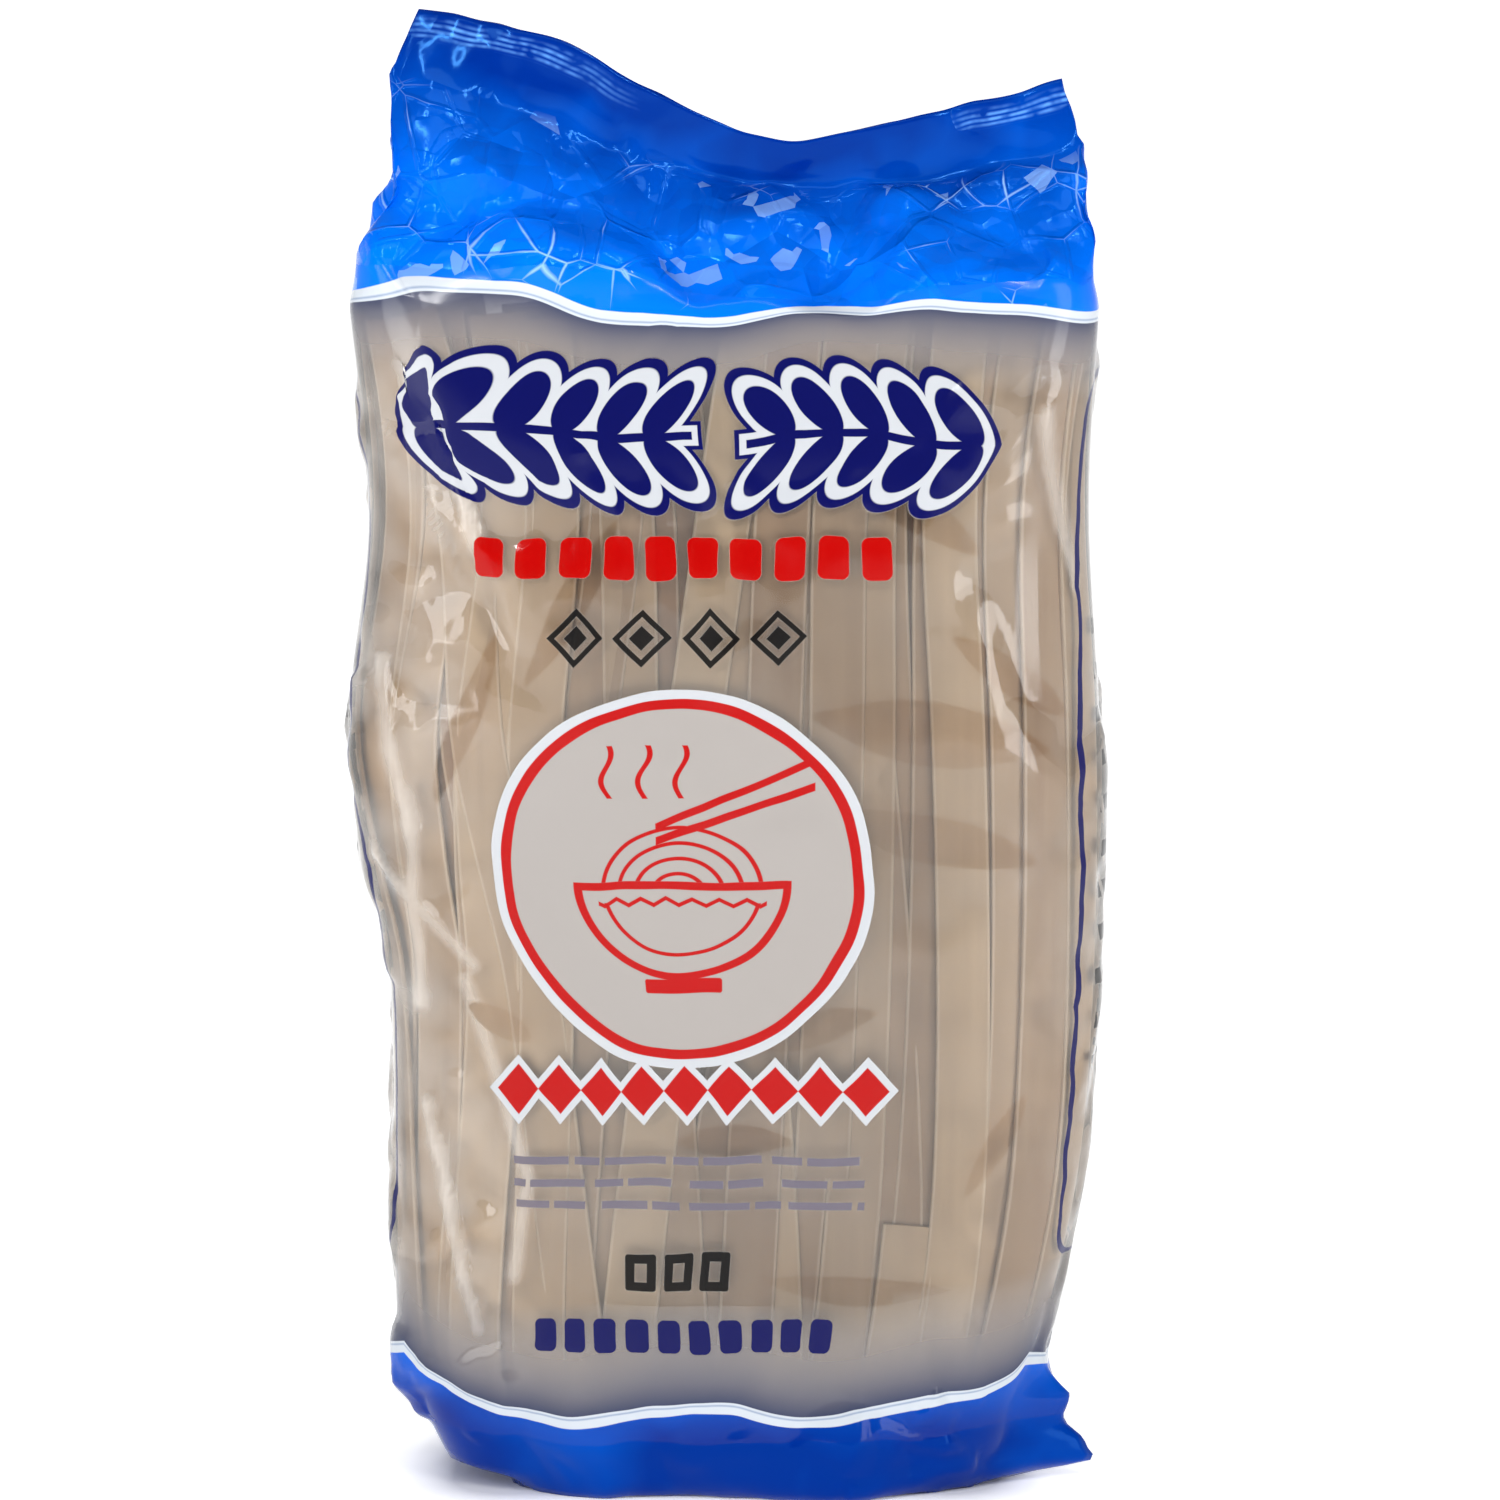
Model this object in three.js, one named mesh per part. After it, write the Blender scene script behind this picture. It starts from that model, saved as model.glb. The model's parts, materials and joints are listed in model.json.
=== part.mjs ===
// Upright sealed film pack of wide flat dried rice noodles, as one closed body, in millimetres.
// X runs across the pack, Y from its front to its back, and Z is up. The origin is under the
// middle of the face that the pack stands on.
//
// The body is a stack of closed rings. Each ring is a section, rounded on the filled body and
// squarer on the gathered top, stretched to the width and depth that the pack has at that height.
// Above the shoulder the rings close to a thin standing flap, whose sealed edge dips in the middle
// like a saddle, while the pleated side panels fold inwards.

import * as THREE from "three";

// Section
const ringPoints = 76; // points round a ring, a multiple of four
const roundPower = 3.1; // of the filled body: 2 is an ellipse, higher is squarer
const squarePower = 9; // of the gathered top
const typicalHalfWidth = 66;
const typicalHalfDepth = 26;

// Outline of the filled body: [height, distance from the middle plane]
const leftOutline = [[0, 49], [5, 52.5], [16, 57.5], [28, 61], [96, 62], [117, 66], [140, 69], [178, 65], [217, 68]];
const rightOutline = [[0, 50], [5, 53], [22, 57.5], [38, 62], [60, 66], [97, 68.4], [140, 68.4], [180, 66.2], [217, 67.6]];
const frontOutline = [[0, 19.5], [4, 22.5], [14, 25], [60, 26.5], [130, 27.5], [190, 26], [217, 23]];
const backOutline = [[0, 19.5], [4, 22], [14, 24], [60, 25.5], [130, 26.5], [190, 25.5], [217, 23]];
const bodyHeights = [0, 1.6, 4, 8, 13, 18, 23, 29, 37, 47, 58, 70, 83, 96, 109, 122, 135, 148, 161, 174, 187, 198, 208];
const sideBulge = 1.5; // how far a side panel swells past a plain rounded section
const noodleRelief = 0.5; // how far the noodles behind the film push it in and out
const noodlePitch = 21; // from one such ridge to the next

// Gathered top, from the shoulder to the fold at the foot of the flap
const shoulderHeight = 217;
const shoulderSteps = 10;
const foldHalfWidth = 62.5;
const sealShorterLeft = 5; // how far the sealed edge's corners lie inside the fold's
const sealShorterRight = 2;
const wideUntil = 2.2; // higher keeps the top wide for longer before it narrows
const pleatDepth = 13; // deepest inward fold of a side panel
const shoulderSquareness = 0.85; // of the section at the shoulder, on its way from round to square

// Standing flap and its sealed edge
const flapSteps = 5;
const flapHalfThickness = 1.3;
const dipX = 11;
const foldLow = 236;
const foldRiseLeft = 21;
const foldRiseRight = 8;
const sealLow = 245.5;
const sealRiseLeft = 24.5;
const sealRiseRight = 12;
const dipRounding = 0.1; // share of the half width over which the dip is rounded
const flapMiddleLean = -3.5; // the middle of the flap hangs over to the front
const flapCornerLean = 5; // its corners lean to the back

// Ear of the folded bottom seal, at the lower right of the front
const earReach = 6.5;
const earLow = 1.5;
const earHigh = 25;
const earAngle = -0.42; // radians round from the right-hand side, towards the front
const earSpread = 0.3;

// Value of a smooth curve through [position, value] knots.
function valueAlong(knots, position) {
  const last = knots.length - 2;
  let i = 0;
  while (i < last && position > knots[i + 1][0]) i += 1;
  const slopeAt = (k) => {
    const before = knots[Math.max(k - 1, 0)];
    const after = knots[Math.min(k + 1, knots.length - 1)];
    return (after[1] - before[1]) / (after[0] - before[0]);
  };
  const [startAt, startValue] = knots[i];
  const [endAt, endValue] = knots[i + 1];
  const span = endAt - startAt;
  const t = (position - startAt) / span;
  const eased = t * t * (3 - 2 * t);
  const startPull = t * (1 - t) * (1 - t) * span * slopeAt(i);
  const endPull = t * t * (t - 1) * span * slopeAt(i + 1);
  return startValue + (endValue - startValue) * eased + startPull + endPull;
}

// Unit section: x and y between -1 and 1, evenly spaced round the typical ring.
function unitSection(power) {
  const fine = 4000;
  const outline = [];
  for (let i = 0; i <= fine; i += 1) {
    const angle = (i / fine) * 2 * Math.PI;
    const across = Math.cos(angle) / typicalHalfWidth;
    const through = Math.sin(angle) / typicalHalfDepth;
    const size = (Math.abs(across) ** power + Math.abs(through) ** power) ** (1 / power);
    outline.push([across / size, through / size]);
  }
  const travelled = [0];
  for (let i = 1; i <= fine; i += 1) {
    const stepX = (outline[i][0] - outline[i - 1][0]) * typicalHalfWidth;
    const stepY = (outline[i][1] - outline[i - 1][1]) * typicalHalfDepth;
    travelled.push(travelled[i - 1] + Math.hypot(stepX, stepY));
  }
  const section = [];
  let at = 0;
  for (let i = 0; i < ringPoints; i += 1) {
    const goal = (i / ringPoints) * travelled[fine];
    while (travelled[at] < goal) at += 1;
    section.push(outline[at]);
  }
  return section;
}

// Height gained from the dip towards the left or right end of the flap.
function saddleRise(x, riseLeft, riseRight) {
  const left = x < dipX;
  const reach = left ? foldHalfWidth + dipX : foldHalfWidth - dipX;
  const away = Math.abs(x - dipX) / reach;
  const rounded = Math.hypot(away, dipRounding) - dipRounding;
  return (left ? riseLeft : riseRight) * rounded * (1.3 - 0.2 * rounded);
}

const roundSection = unitSection(roundPower);
const squareSection = unitSection(squarePower);

// One ring's place for every point of the section.
function makeRing(size) {
  return roundSection.map((round, i) => {
    const across = round[0] + (squareSection[i][0] - round[0]) * size.squareness;
    const through = round[1] + (squareSection[i][1] - round[1]) * size.squareness;
    const half = across < 0 ? size.left : size.right;
    const pleat = size.pleat * (1 - Math.abs(through) ** size.pleatPower);
    const x = across * (half - pleat);
    const y = through * (through < 0 ? size.front : size.back);
    return new THREE.Vector3(x, y + size.leanAt(x), size.heightAt(x));
  });
}

// Low ridges on the front and back, where the noodles press on the film.
function ridgeAt(x, height) {
  const fade = Math.sin((Math.PI * height) / shoulderHeight);
  const wander = Math.sin(height / 30) * 0.8;
  return noodleRelief * fade * Math.sin((2 * Math.PI * x) / noodlePitch + wander);
}

function bodyRing(height) {
  return makeRing({
    left: valueAlong(leftOutline, height) - sideBulge,
    right: valueAlong(rightOutline, height) - sideBulge,
    front: valueAlong(frontOutline, height),
    back: valueAlong(backOutline, height),
    squareness: shoulderSquareness * (height / shoulderHeight) ** 8,
    pleat: -sideBulge,
    pleatPower: 2,
    leanAt: (x) => ridgeAt(x, height),
    heightAt: () => height,
  });
}

// Rings from the shoulder, at share 0, to the fold at the foot of the flap, at share 1.
function shoulderRing(share) {
  const narrowing = share ** wideUntil;
  const closing = 1 - share ** 1.5;
  const pleating = Math.sin(Math.PI * share);
  const depthAt = (outline) => {
    const full = valueAlong(outline, shoulderHeight);
    return flapHalfThickness + (full - flapHalfThickness) * closing;
  };
  const widthAt = (outline) => {
    const full = valueAlong(outline, shoulderHeight) - sideBulge * (1 - share);
    return full + (foldHalfWidth - full) * narrowing;
  };
  return makeRing({
    left: widthAt(leftOutline),
    right: widthAt(rightOutline),
    front: depthAt(frontOutline),
    back: depthAt(backOutline),
    squareness: shoulderSquareness + (1 - shoulderSquareness) * Math.min(share * 3, 1),
    pleat: pleatDepth * pleating - sideBulge * (1 - share),
    pleatPower: 1.1,
    leanAt: () => 0,
    heightAt: (x) => {
      const fold = foldLow + saddleRise(x, foldRiseLeft, foldRiseRight);
      return shoulderHeight + (fold - shoulderHeight) * share;
    },
  });
}

// Rings from the fold, at share 0, to the sealed edge, at share 1.
function flapRing(share) {
  return makeRing({
    left: foldHalfWidth - sealShorterLeft * share,
    right: foldHalfWidth - sealShorterRight * share,
    front: flapHalfThickness,
    back: flapHalfThickness,
    squareness: 1,
    pleat: 0,
    pleatPower: 2,
    leanAt: (x) => {
      const outer = Math.min(Math.abs(x - dipX) / foldHalfWidth, 1) ** 2;
      return share * (flapMiddleLean + (flapCornerLean - flapMiddleLean) * outer);
    },
    heightAt: (x) => {
      const fold = foldLow + saddleRise(x, foldRiseLeft, foldRiseRight);
      const seal = sealLow + saddleRise(x, sealRiseLeft, sealRiseRight);
      return fold + (seal - fold) * share;
    },
  });
}

// Push the lower right corner out into the ear of the folded seal.
function pullEar(ring) {
  for (const point of ring) {
    const angle = Math.atan2(point.y / typicalHalfDepth, point.x / typicalHalfWidth);
    const near = Math.exp(-(((angle - earAngle) / earSpread) ** 2));
    const inside = point.z > earLow && point.z < earHigh;
    const upright = inside ? Math.sin((Math.PI * (point.z - earLow)) / (earHigh - earLow)) ** 0.6 : 0;
    point.x += earReach * near * upright;
  }
  return ring;
}

function packRings() {
  const rings = bodyHeights.map((height) => pullEar(bodyRing(height)));
  for (let i = 0; i <= shoulderSteps; i += 1) {
    rings.push(shoulderRing(i / shoulderSteps));
  }
  for (let i = 1; i <= flapSteps; i += 1) {
    rings.push(flapRing(i / flapSteps));
  }
  return rings;
}

// Skin the rings, and close both ends with strips from front to back.
function packGeometry() {
  const rings = packRings();
  const places = rings.flat().flatMap((point) => point.toArray());
  const faces = [];
  const count = ringPoints;
  for (let level = 0; level + 1 < rings.length; level += 1) {
    for (let i = 0; i < count; i += 1) {
      const here = level * count + i;
      const next = level * count + ((i + 1) % count);
      faces.push(here, next, next + count);
      faces.push(here, next + count, here + count);
    }
  }
  const top = (rings.length - 1) * count;
  for (let i = 0; i < count / 2; i += 1) {
    const back = i;
    const backNext = i + 1;
    const front = (count - i) % count;
    const frontNext = count - i - 1;
    faces.push(back, front, frontNext, back, frontNext, backNext);
    faces.push(top + back, top + frontNext, top + front, top + back, top + backNext, top + frontNext);
  }
  const geometry = new THREE.BufferGeometry();
  geometry.setAttribute("position", new THREE.Float32BufferAttribute(places, 3));
  geometry.setIndex(dropCollapsed(faces, places));
  geometry.computeVertexNormals();
  return geometry;
}

// Leave out triangles of which two corners are the same point.
function dropCollapsed(faces, places) {
  const kept = [];
  const same = (a, b) => a === b || [0, 1, 2].every((k) => places[a * 3 + k] === places[b * 3 + k]);
  for (let i = 0; i < faces.length; i += 3) {
    const [a, b, c] = faces.slice(i, i + 3);
    if (!same(a, b) && !same(b, c) && !same(c, a)) kept.push(a, b, c);
  }
  return kept;
}

function noodlePack() {
  const material = new THREE.MeshStandardMaterial({ color: 0xc9b5a0, roughness: 0.3, metalness: 0 });
  const mesh = new THREE.Mesh(packGeometry(), material);
  mesh.name = "noodle_pack";
  return mesh;
}

const part = new THREE.Group();
part.add(noodlePack());

export default part;
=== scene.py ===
# Upright film pack of wide flat rice noodles: the printed film, the noodles and the core behind them.
# The form and the print are laid out in millimetres, and meshes are made in metres.
import json
import math
import random

import bpy
import numpy as np
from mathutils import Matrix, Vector, noise

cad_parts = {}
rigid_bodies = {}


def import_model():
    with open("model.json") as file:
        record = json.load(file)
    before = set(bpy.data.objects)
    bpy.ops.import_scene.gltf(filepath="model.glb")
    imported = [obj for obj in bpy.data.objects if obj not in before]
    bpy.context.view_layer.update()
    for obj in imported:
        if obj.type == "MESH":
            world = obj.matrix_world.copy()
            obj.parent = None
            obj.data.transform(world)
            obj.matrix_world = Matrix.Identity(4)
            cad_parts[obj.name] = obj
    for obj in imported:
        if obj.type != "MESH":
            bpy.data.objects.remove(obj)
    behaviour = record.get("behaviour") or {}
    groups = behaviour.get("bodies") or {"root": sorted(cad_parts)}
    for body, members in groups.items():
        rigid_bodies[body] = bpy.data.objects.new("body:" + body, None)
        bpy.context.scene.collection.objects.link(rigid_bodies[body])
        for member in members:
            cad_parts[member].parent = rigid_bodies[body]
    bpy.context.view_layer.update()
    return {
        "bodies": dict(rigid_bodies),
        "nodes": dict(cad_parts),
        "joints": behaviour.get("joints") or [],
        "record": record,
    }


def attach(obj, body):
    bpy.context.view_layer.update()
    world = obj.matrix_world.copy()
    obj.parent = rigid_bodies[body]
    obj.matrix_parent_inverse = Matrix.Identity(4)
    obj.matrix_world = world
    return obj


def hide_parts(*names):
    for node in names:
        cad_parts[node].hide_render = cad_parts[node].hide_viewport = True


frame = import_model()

scene = bpy.context.scene
mm = 0.001
packNode = "noodle_pack"

# [height, distance from the middle plane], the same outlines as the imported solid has
form = {
    "left": [[0, 49], [5, 52.5], [16, 57.5], [28, 61], [96, 62], [117, 66], [140, 69], [178, 65], [217, 68]],
    "right": [[0, 50], [5, 53], [22, 57.5], [38, 62], [60, 66], [97, 68.4], [140, 68.4], [180, 66.2], [217, 67.6]],
    "front": [[0, 19.5], [4, 22.5], [14, 25], [60, 26.5], [130, 27.5], [190, 26], [217, 23]],
    "back": [[0, 19.5], [4, 22], [14, 24], [60, 25.5], [130, 26.5], [190, 25.5], [217, 23]],
    "roundPower": 3.1,       # 2 is an ellipse, higher is squarer
    "squarePower": 9,
    "halfWidth": 66,
    "halfDepth": 26,
    "bulge": 1.5,            # of the side panels
    "shoulder": 217,         # where the filled body ends
    "foldHalfWidth": 62.5,
    "dipX": 11,
    "fold": (236, 21, 8),    # height at the dip, rise to the left corner, rise to the right
    "seal": (245.5, 24.5, 12),
    "dipRounding": 0.1,
    "flapHalf": 0.45,        # half the thickness of the pressed flap
    "pleat": 24,             # how deep the side panels fold in at the top
    "leans": (-3.5, 5),      # of the seal's middle and of its corners
    "earReach": 6.5,
}

# stretches of film, from its edge under the foot to its sealed edge
footLength = 18
slopeLength = 34
flapLength = 11
filmLength = footLength + form["shoulder"] + slopeLength + flapLength


def valueAlong(knots, at):
    # smooth curve through [position, value] knots
    x, v = np.array(knots, float).T
    low = np.maximum(np.arange(len(x)) - 1, 0)
    high = np.minimum(np.arange(len(x)) + 1, len(x) - 1)
    slope = (v[high] - v[low]) / (x[high] - x[low])
    i = np.clip(np.searchsorted(x, at, side="right") - 1, 0, len(x) - 2)
    span = x[i + 1] - x[i]
    t = (at - x[i]) / span
    eased = v[i] + (v[i + 1] - v[i]) * t * t * (3 - 2 * t)
    return eased + t * (1 - t) ** 2 * span * slope[i] + t * t * (t - 1) * span * slope[i + 1]


def unitSection(power, columns):
    # evenly spaced places round a section, each between -1 and 1, from the right-hand side by the back
    angle = np.linspace(0, 2 * np.pi, 8001)
    c, s = np.cos(angle) / form["halfWidth"], np.sin(angle) / form["halfDepth"]
    size = (np.abs(c) ** power + np.abs(s) ** power) ** (1 / power)
    x, y = c / size, s / size
    steps = np.hypot(np.diff(x) * form["halfWidth"], np.diff(y) * form["halfDepth"])
    travelled = np.concatenate([[0], np.cumsum(steps)])
    goal = np.arange(columns) / columns * travelled[-1]
    return np.interp(goal, travelled, x), np.interp(goal, travelled, y), travelled[-1]


girth = unitSection(form["roundPower"], 4)[2]


def saddleHeight(x, low, riseLeft, riseRight):
    isLeft = x < form["dipX"]
    reach = form["foldHalfWidth"] + np.where(isLeft, 1, -1) * form["dipX"]
    away = np.hypot(np.abs(x - form["dipX"]) / reach, form["dipRounding"]) - form["dipRounding"]
    return low + np.where(isLeft, riseLeft, riseRight) * away * (1.3 - 0.2 * away)


def sectionRing(sections, sizes, square, pleat, power):
    left, right, front, back = sizes
    (roundX, roundY, _), (squareX, squareY, _) = sections
    across = roundX + (squareX - roundX) * square
    through = roundY + (squareY - roundY) * square
    half = np.where(across < 0, left, right)
    x = across * (half - pleat * (1 - np.abs(through) ** power))
    return x, through * np.where(through < 0, front, back)


def bodyRing(sections, z, inset=0.0):
    bulge = form["bulge"]
    left, right, front, back = (valueAlong(form[side], z) - inset for side in ("left", "right", "front", "back"))
    square = 0.85 * (z / form["shoulder"]) ** 8
    return sectionRing(sections, (left - bulge, right - bulge, front, back), square, -bulge, 2)


def bothSections(columns):
    return unitSection(form["roundPower"], columns), unitSection(form["squarePower"], columns)


def packRings(columns, step):
    # the film's rings in mm, from the foot to the seal, and how far along the film each ring lies
    sections = bothSections(columns)
    thin, bulge, shoulder, half = form["flapHalf"], form["bulge"], form["shoulder"], form["foldHalfWidth"]
    rings, places = [], []
    footRows = int(footLength / step)
    for i in range(footRows):
        s = i / footRows
        deep = thin + (19.5 - thin) * s
        x, y = sectionRing(sections, (30 + 19 * s, 31 + 19 * s, deep, deep), 0.3 * (1 - s), 0, 2)
        rings.append(np.stack([x, y, np.full_like(x, 0.5 * (1 - s))], 1))
        places.append(footLength * (s - 1))
    bodyRows = round(shoulder / step)
    for i in range(bodyRows):
        z = shoulder * i / bodyRows
        x, y = bodyRing(sections, z)
        rings.append(np.stack([x, y, np.full_like(x, z)], 1))
        places.append(z)
    ends = [valueAlong(form[side], float(shoulder)) for side in ("left", "right", "front", "back")]
    slopeRows = int(slopeLength / step)
    for i in range(slopeRows + 1):
        s = i / slopeRows
        sizes = [end - bulge * (1 - s) for end in ends[:2]]
        sizes = [size + (half - size) * s ** 2.2 for size in sizes]
        sizes += [thin + (end - thin) * (1 - s ** 1.5) for end in ends[2:]]
        pleat = form["pleat"] * min(1, s * 1.3) ** 1.2 - bulge * (1 - s)
        x, y = sectionRing(sections, sizes, 0.85 + 0.15 * min(3 * s, 1), pleat, 1.05)
        rings.append(np.stack([x, y, shoulder + (saddleHeight(x, *form["fold"]) - shoulder) * s], 1))
        places.append(shoulder + slopeLength * s)
    flapRows = int(flapLength / step)
    for i in range(1, flapRows + 1):
        s = i / flapRows
        x, y = sectionRing(sections, (half - 5 * s, half - 2 * s, thin, thin), 1, form["pleat"], 1.05)
        outer = np.minimum(np.abs(x - form["dipX"]) / half, 1) ** 2
        lean = s * (form["leans"][0] + (form["leans"][1] - form["leans"][0]) * outer)
        z = saddleHeight(x, *form["fold"]) * (1 - s) + saddleHeight(x, *form["seal"]) * s
        rings.append(np.stack([x, y + lean, z], 1))
        places.append(shoulder + slopeLength + flapLength * s)
    return np.array(rings), np.array(places)


def ringMesh(name, rings, places=None):
    # skins the rings, and closes both ends with strips from front to back
    rows, columns = rings.shape[:2]
    index = np.arange(rows * columns).reshape(rows, columns)
    right = np.roll(index, -1, 1)
    faces = np.stack([index[:-1], right[:-1], right[1:], index[1:]], -1).reshape(-1, 4).tolist()
    for i in range(columns // 2):
        loop = list(dict.fromkeys([i, (columns - i) % columns, columns - i - 1, i + 1]))
        faces.append(loop)
        faces.append([(rows - 1) * columns + k for k in reversed(loop)])
    mesh = bpy.data.meshes.new(name)
    mesh.from_pydata((rings.reshape(-1, 3)).tolist(), [], faces)
    if places is not None:
        drawFilmMap(mesh, rows, columns, places)
    mesh.polygons.foreach_set("use_smooth", [True] * len(mesh.polygons))
    mesh.update()
    return mesh


def drawFilmMap(mesh, rows, columns, places):
    # u runs once round the film from its right-hand side, v along it from foot to seal
    v = (places + footLength) / filmLength
    i, j = np.meshgrid(np.arange(rows - 1), np.arange(columns), indexing="ij")
    corners = [np.stack([(j + dj) / columns, v[i + di]], -1) for di, dj in ((0, 0), (0, 1), (1, 1), (1, 0))]
    sides = np.stack(corners, 2).reshape(-1, 2)
    loops = np.empty(len(mesh.loops), int)
    mesh.loops.foreach_get("vertex_index", loops)
    ends = loops[len(sides):]
    ends = np.stack([(ends % columns) / columns, v[ends // columns]], 1)
    layer = mesh.uv_layers.new(name="filmMap")
    layer.data.foreach_set("uv", np.concatenate([sides, ends]).astype(np.float32).ravel())


def newObject(name, mesh, *materials):
    thing = bpy.data.objects.new(name, mesh)
    scene.collection.objects.link(thing)
    for material in materials:
        mesh.materials.append(material)
    return thing


# the film is blown up for the solver, which steps better on a large sheet
film = {
    "columns": 180,
    "step": 2.15,
    "solverScale": 0.01,
    "frames": 20,
    "unrest": 2.4,           # mm of stir in the start shape
    "slack": 0.07,           # share of spare film at the top
    "bodySlack": 0.3,        # of that, on the filled body
    "stiffness": 40,
    "bending": 1.2,
    "pressure": 0.16,
    "gravity": 0.06,
    "topCreases": ((30, 0.2), (15, 0.16), (8, 0.1)),      # mm from one to the next, and how steep
    "bodyCreases": ((42, 0.035), (20, 0.03)),
    "slackCreases": ((12, 0.12), (6, 0.1)),      # where the clear film is loose
    "footCreases": ((34, 0.12), (17, 0.05)),
    "seed": 4,
    "longCreases": (         # [x round from the front's middle, height along the film], in mm
        ((-10, 216), (-25, 194)), ((-54, 209), (-45, 176)), ((-62, 155), (-57, 128), (-61, 93)),
        ((-51, 98), (-39, 62), (-42, 44)), ((-60, 74), (-50, 33)), ((-66, 120), (-49, 101)), ((56, 200), (64, 168)),
        ((150, 200), (128, 150), (134, 96)), ((-140, 60), (-112, 104)), ((-150, 190), (-120, 168)),
        ((57, 9), (33, 15)), ((57, 7), (28, 4)), ((56, 19), (42, 17)), ((57, 12), (46, 20)),
    ),
    "creaseHeight": 0.8,
    "creaseWidth": 1.9,
    # corners of the foot that are pulled out or in: angle round, half spread, and
    # (height, reach across) in mm
    "footCorners": (
        (-0.34, 0.3, (
            (0, 0), (1.2, 6), (3.3, 14), (6.6, 12), (8.7, 10.6), (11, 7), (13, 8.6), (15.3, 9), (17.8, 7.4),
            (20, 4.8), (22.4, 1.4), (25, 0),
        )),
        (-2.95, 1.3, (
            (0, 13), (2.2, 14.5), (4.4, 12), (6.6, 6.2), (8.7, -0.8), (11, -3), (13, -2.4), (17.5, -4), (22, -2.6),
            (27, -1.8), (31, 0),
        )),
    ),
    # the same of the top's two sides
    "topLeft": ((212, 0), (217, 1), (221, 0), (225, -2.5), (232, -2.5), (238, -1.5), (246, -3.2), (268, -3.4)),
    "topRight": ((212, 0), (217, -1.5), (220, 0), (225, 4), (229, 6.8), (236, 7.4), (246, 6.6), (258, 5.5)),
    "leftTip": (-32, 20, 4.2),     # x, spread and rise of the seal's left-hand part
    # where the film clings to the noodles, leaf-shaped: x, height, half length, half width, lean
    "clings": (
        (37, 143, 23, 5.5, -12), (38, 124, 19, 4.5, -20), (51, 152, 14, 3, -35), (25, 42, 19, 2.8, -6),
        (15, 90, 12, 3, 12), (-45, 91, 8, 2.4, -30), (2, 69, 12, 3, 4), (-18, 27, 10, 1.8, -8),
        (34, 183, 15, 3.4, -38), (-46, 146, 17, 2.6, 74), (-28, 166, 17, 3, 62), (50, 67, 11, 2.4, 58),
    ),
    "backClings": 14,
}


def stirred(rings, places):
    points = rings.reshape(-1, 3)
    stir = [noise.noise_vector(Vector(p) * 0.075) + noise.noise_vector(Vector(p) * 0.17) * 0.35 for p in points]
    top = np.clip((places - 205) / 12, 0, 1)
    foot = np.clip((28 - places) / 20, 0, 1)
    share = 0.25 + 0.75 * top + 0.4 * foot
    share[places > form["shoulder"] + slopeLength] = 0.5
    share[places < 0] = 0.2
    moved = rings + np.array(stir).reshape(rings.shape) * share[:, None, None] * film["unrest"]
    moved[:, :, 2] = np.maximum(moved[:, :, 2], 0)
    return moved


def smoothed(rings, places, times=16):
    # takes the smallest dents out of the settled top, whose real film breaks into flat facets instead
    share = ramp(places, 204, 216) * ramp(places, form["shoulder"] + slopeLength, form["shoulder"] + slopeLength - 5)
    for _ in range(times):
        around = (np.roll(rings, 1, 1) + np.roll(rings, -1, 1)) / 2
        along = rings.copy()
        along[1:-1] = (rings[2:] + rings[:-2]) / 2
        rings = rings + ((around + along) / 2 - rings) * 0.6 * share[:, None, None]
    return rings


def pullCorners(rings):
    # the folded seal's ear at the lower right, the narrow foot at the left, and the wide top with its tip
    x, y, z = np.moveaxis(rings, 2, 0)
    angle = np.arctan2(y / form["halfDepth"], x / form["halfWidth"])
    moved = x.copy()
    for middle, spread, reach in film["footCorners"]:
        away = abs((angle - middle + math.pi) % (2 * math.pi) - math.pi)
        moved += np.interp(z, *np.transpose(reach)) * np.clip(1 - away / spread, 0, 1) ** 1.2
    left, right = (np.interp(z, *np.transpose(film[side])) for side in ("topLeft", "topRight"))
    moved += np.where(x < 0, left, right) * np.clip(abs(x) / form["foldHalfWidth"], 0, 1)
    middle, spread, rise = film["leftTip"]
    raised = z + rise * np.exp(-((moved - middle) / spread) ** 2) * ramp(z, 240, 257)
    return np.stack([moved, y, raised], 2)


def fillCore(inset, top, columns=120, step=4.0):
    # what the film rests on: the filled body, with a rounded top
    sections = bothSections(columns)
    rings = []
    for z in np.arange(0.8, top, step):
        x, y = bodyRing(sections, z, inset)
        rings.append(np.stack([x, y, np.full_like(x, z)], 1))
    last = rings[-1]
    for share, rise in ((0.96, 0.4), (0.85, 0.8), (0.5, 1.4)):
        rings.append(last * (share, share, 1) + (0, 0, rise))
    return np.array(rings)


def vertexGroup(thing, name, weights):
    group = thing.vertex_groups.new(name=name)
    for i, weight in enumerate(weights):
        if weight > 0:
            group.add([i], float(weight), "REPLACE")


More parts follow.
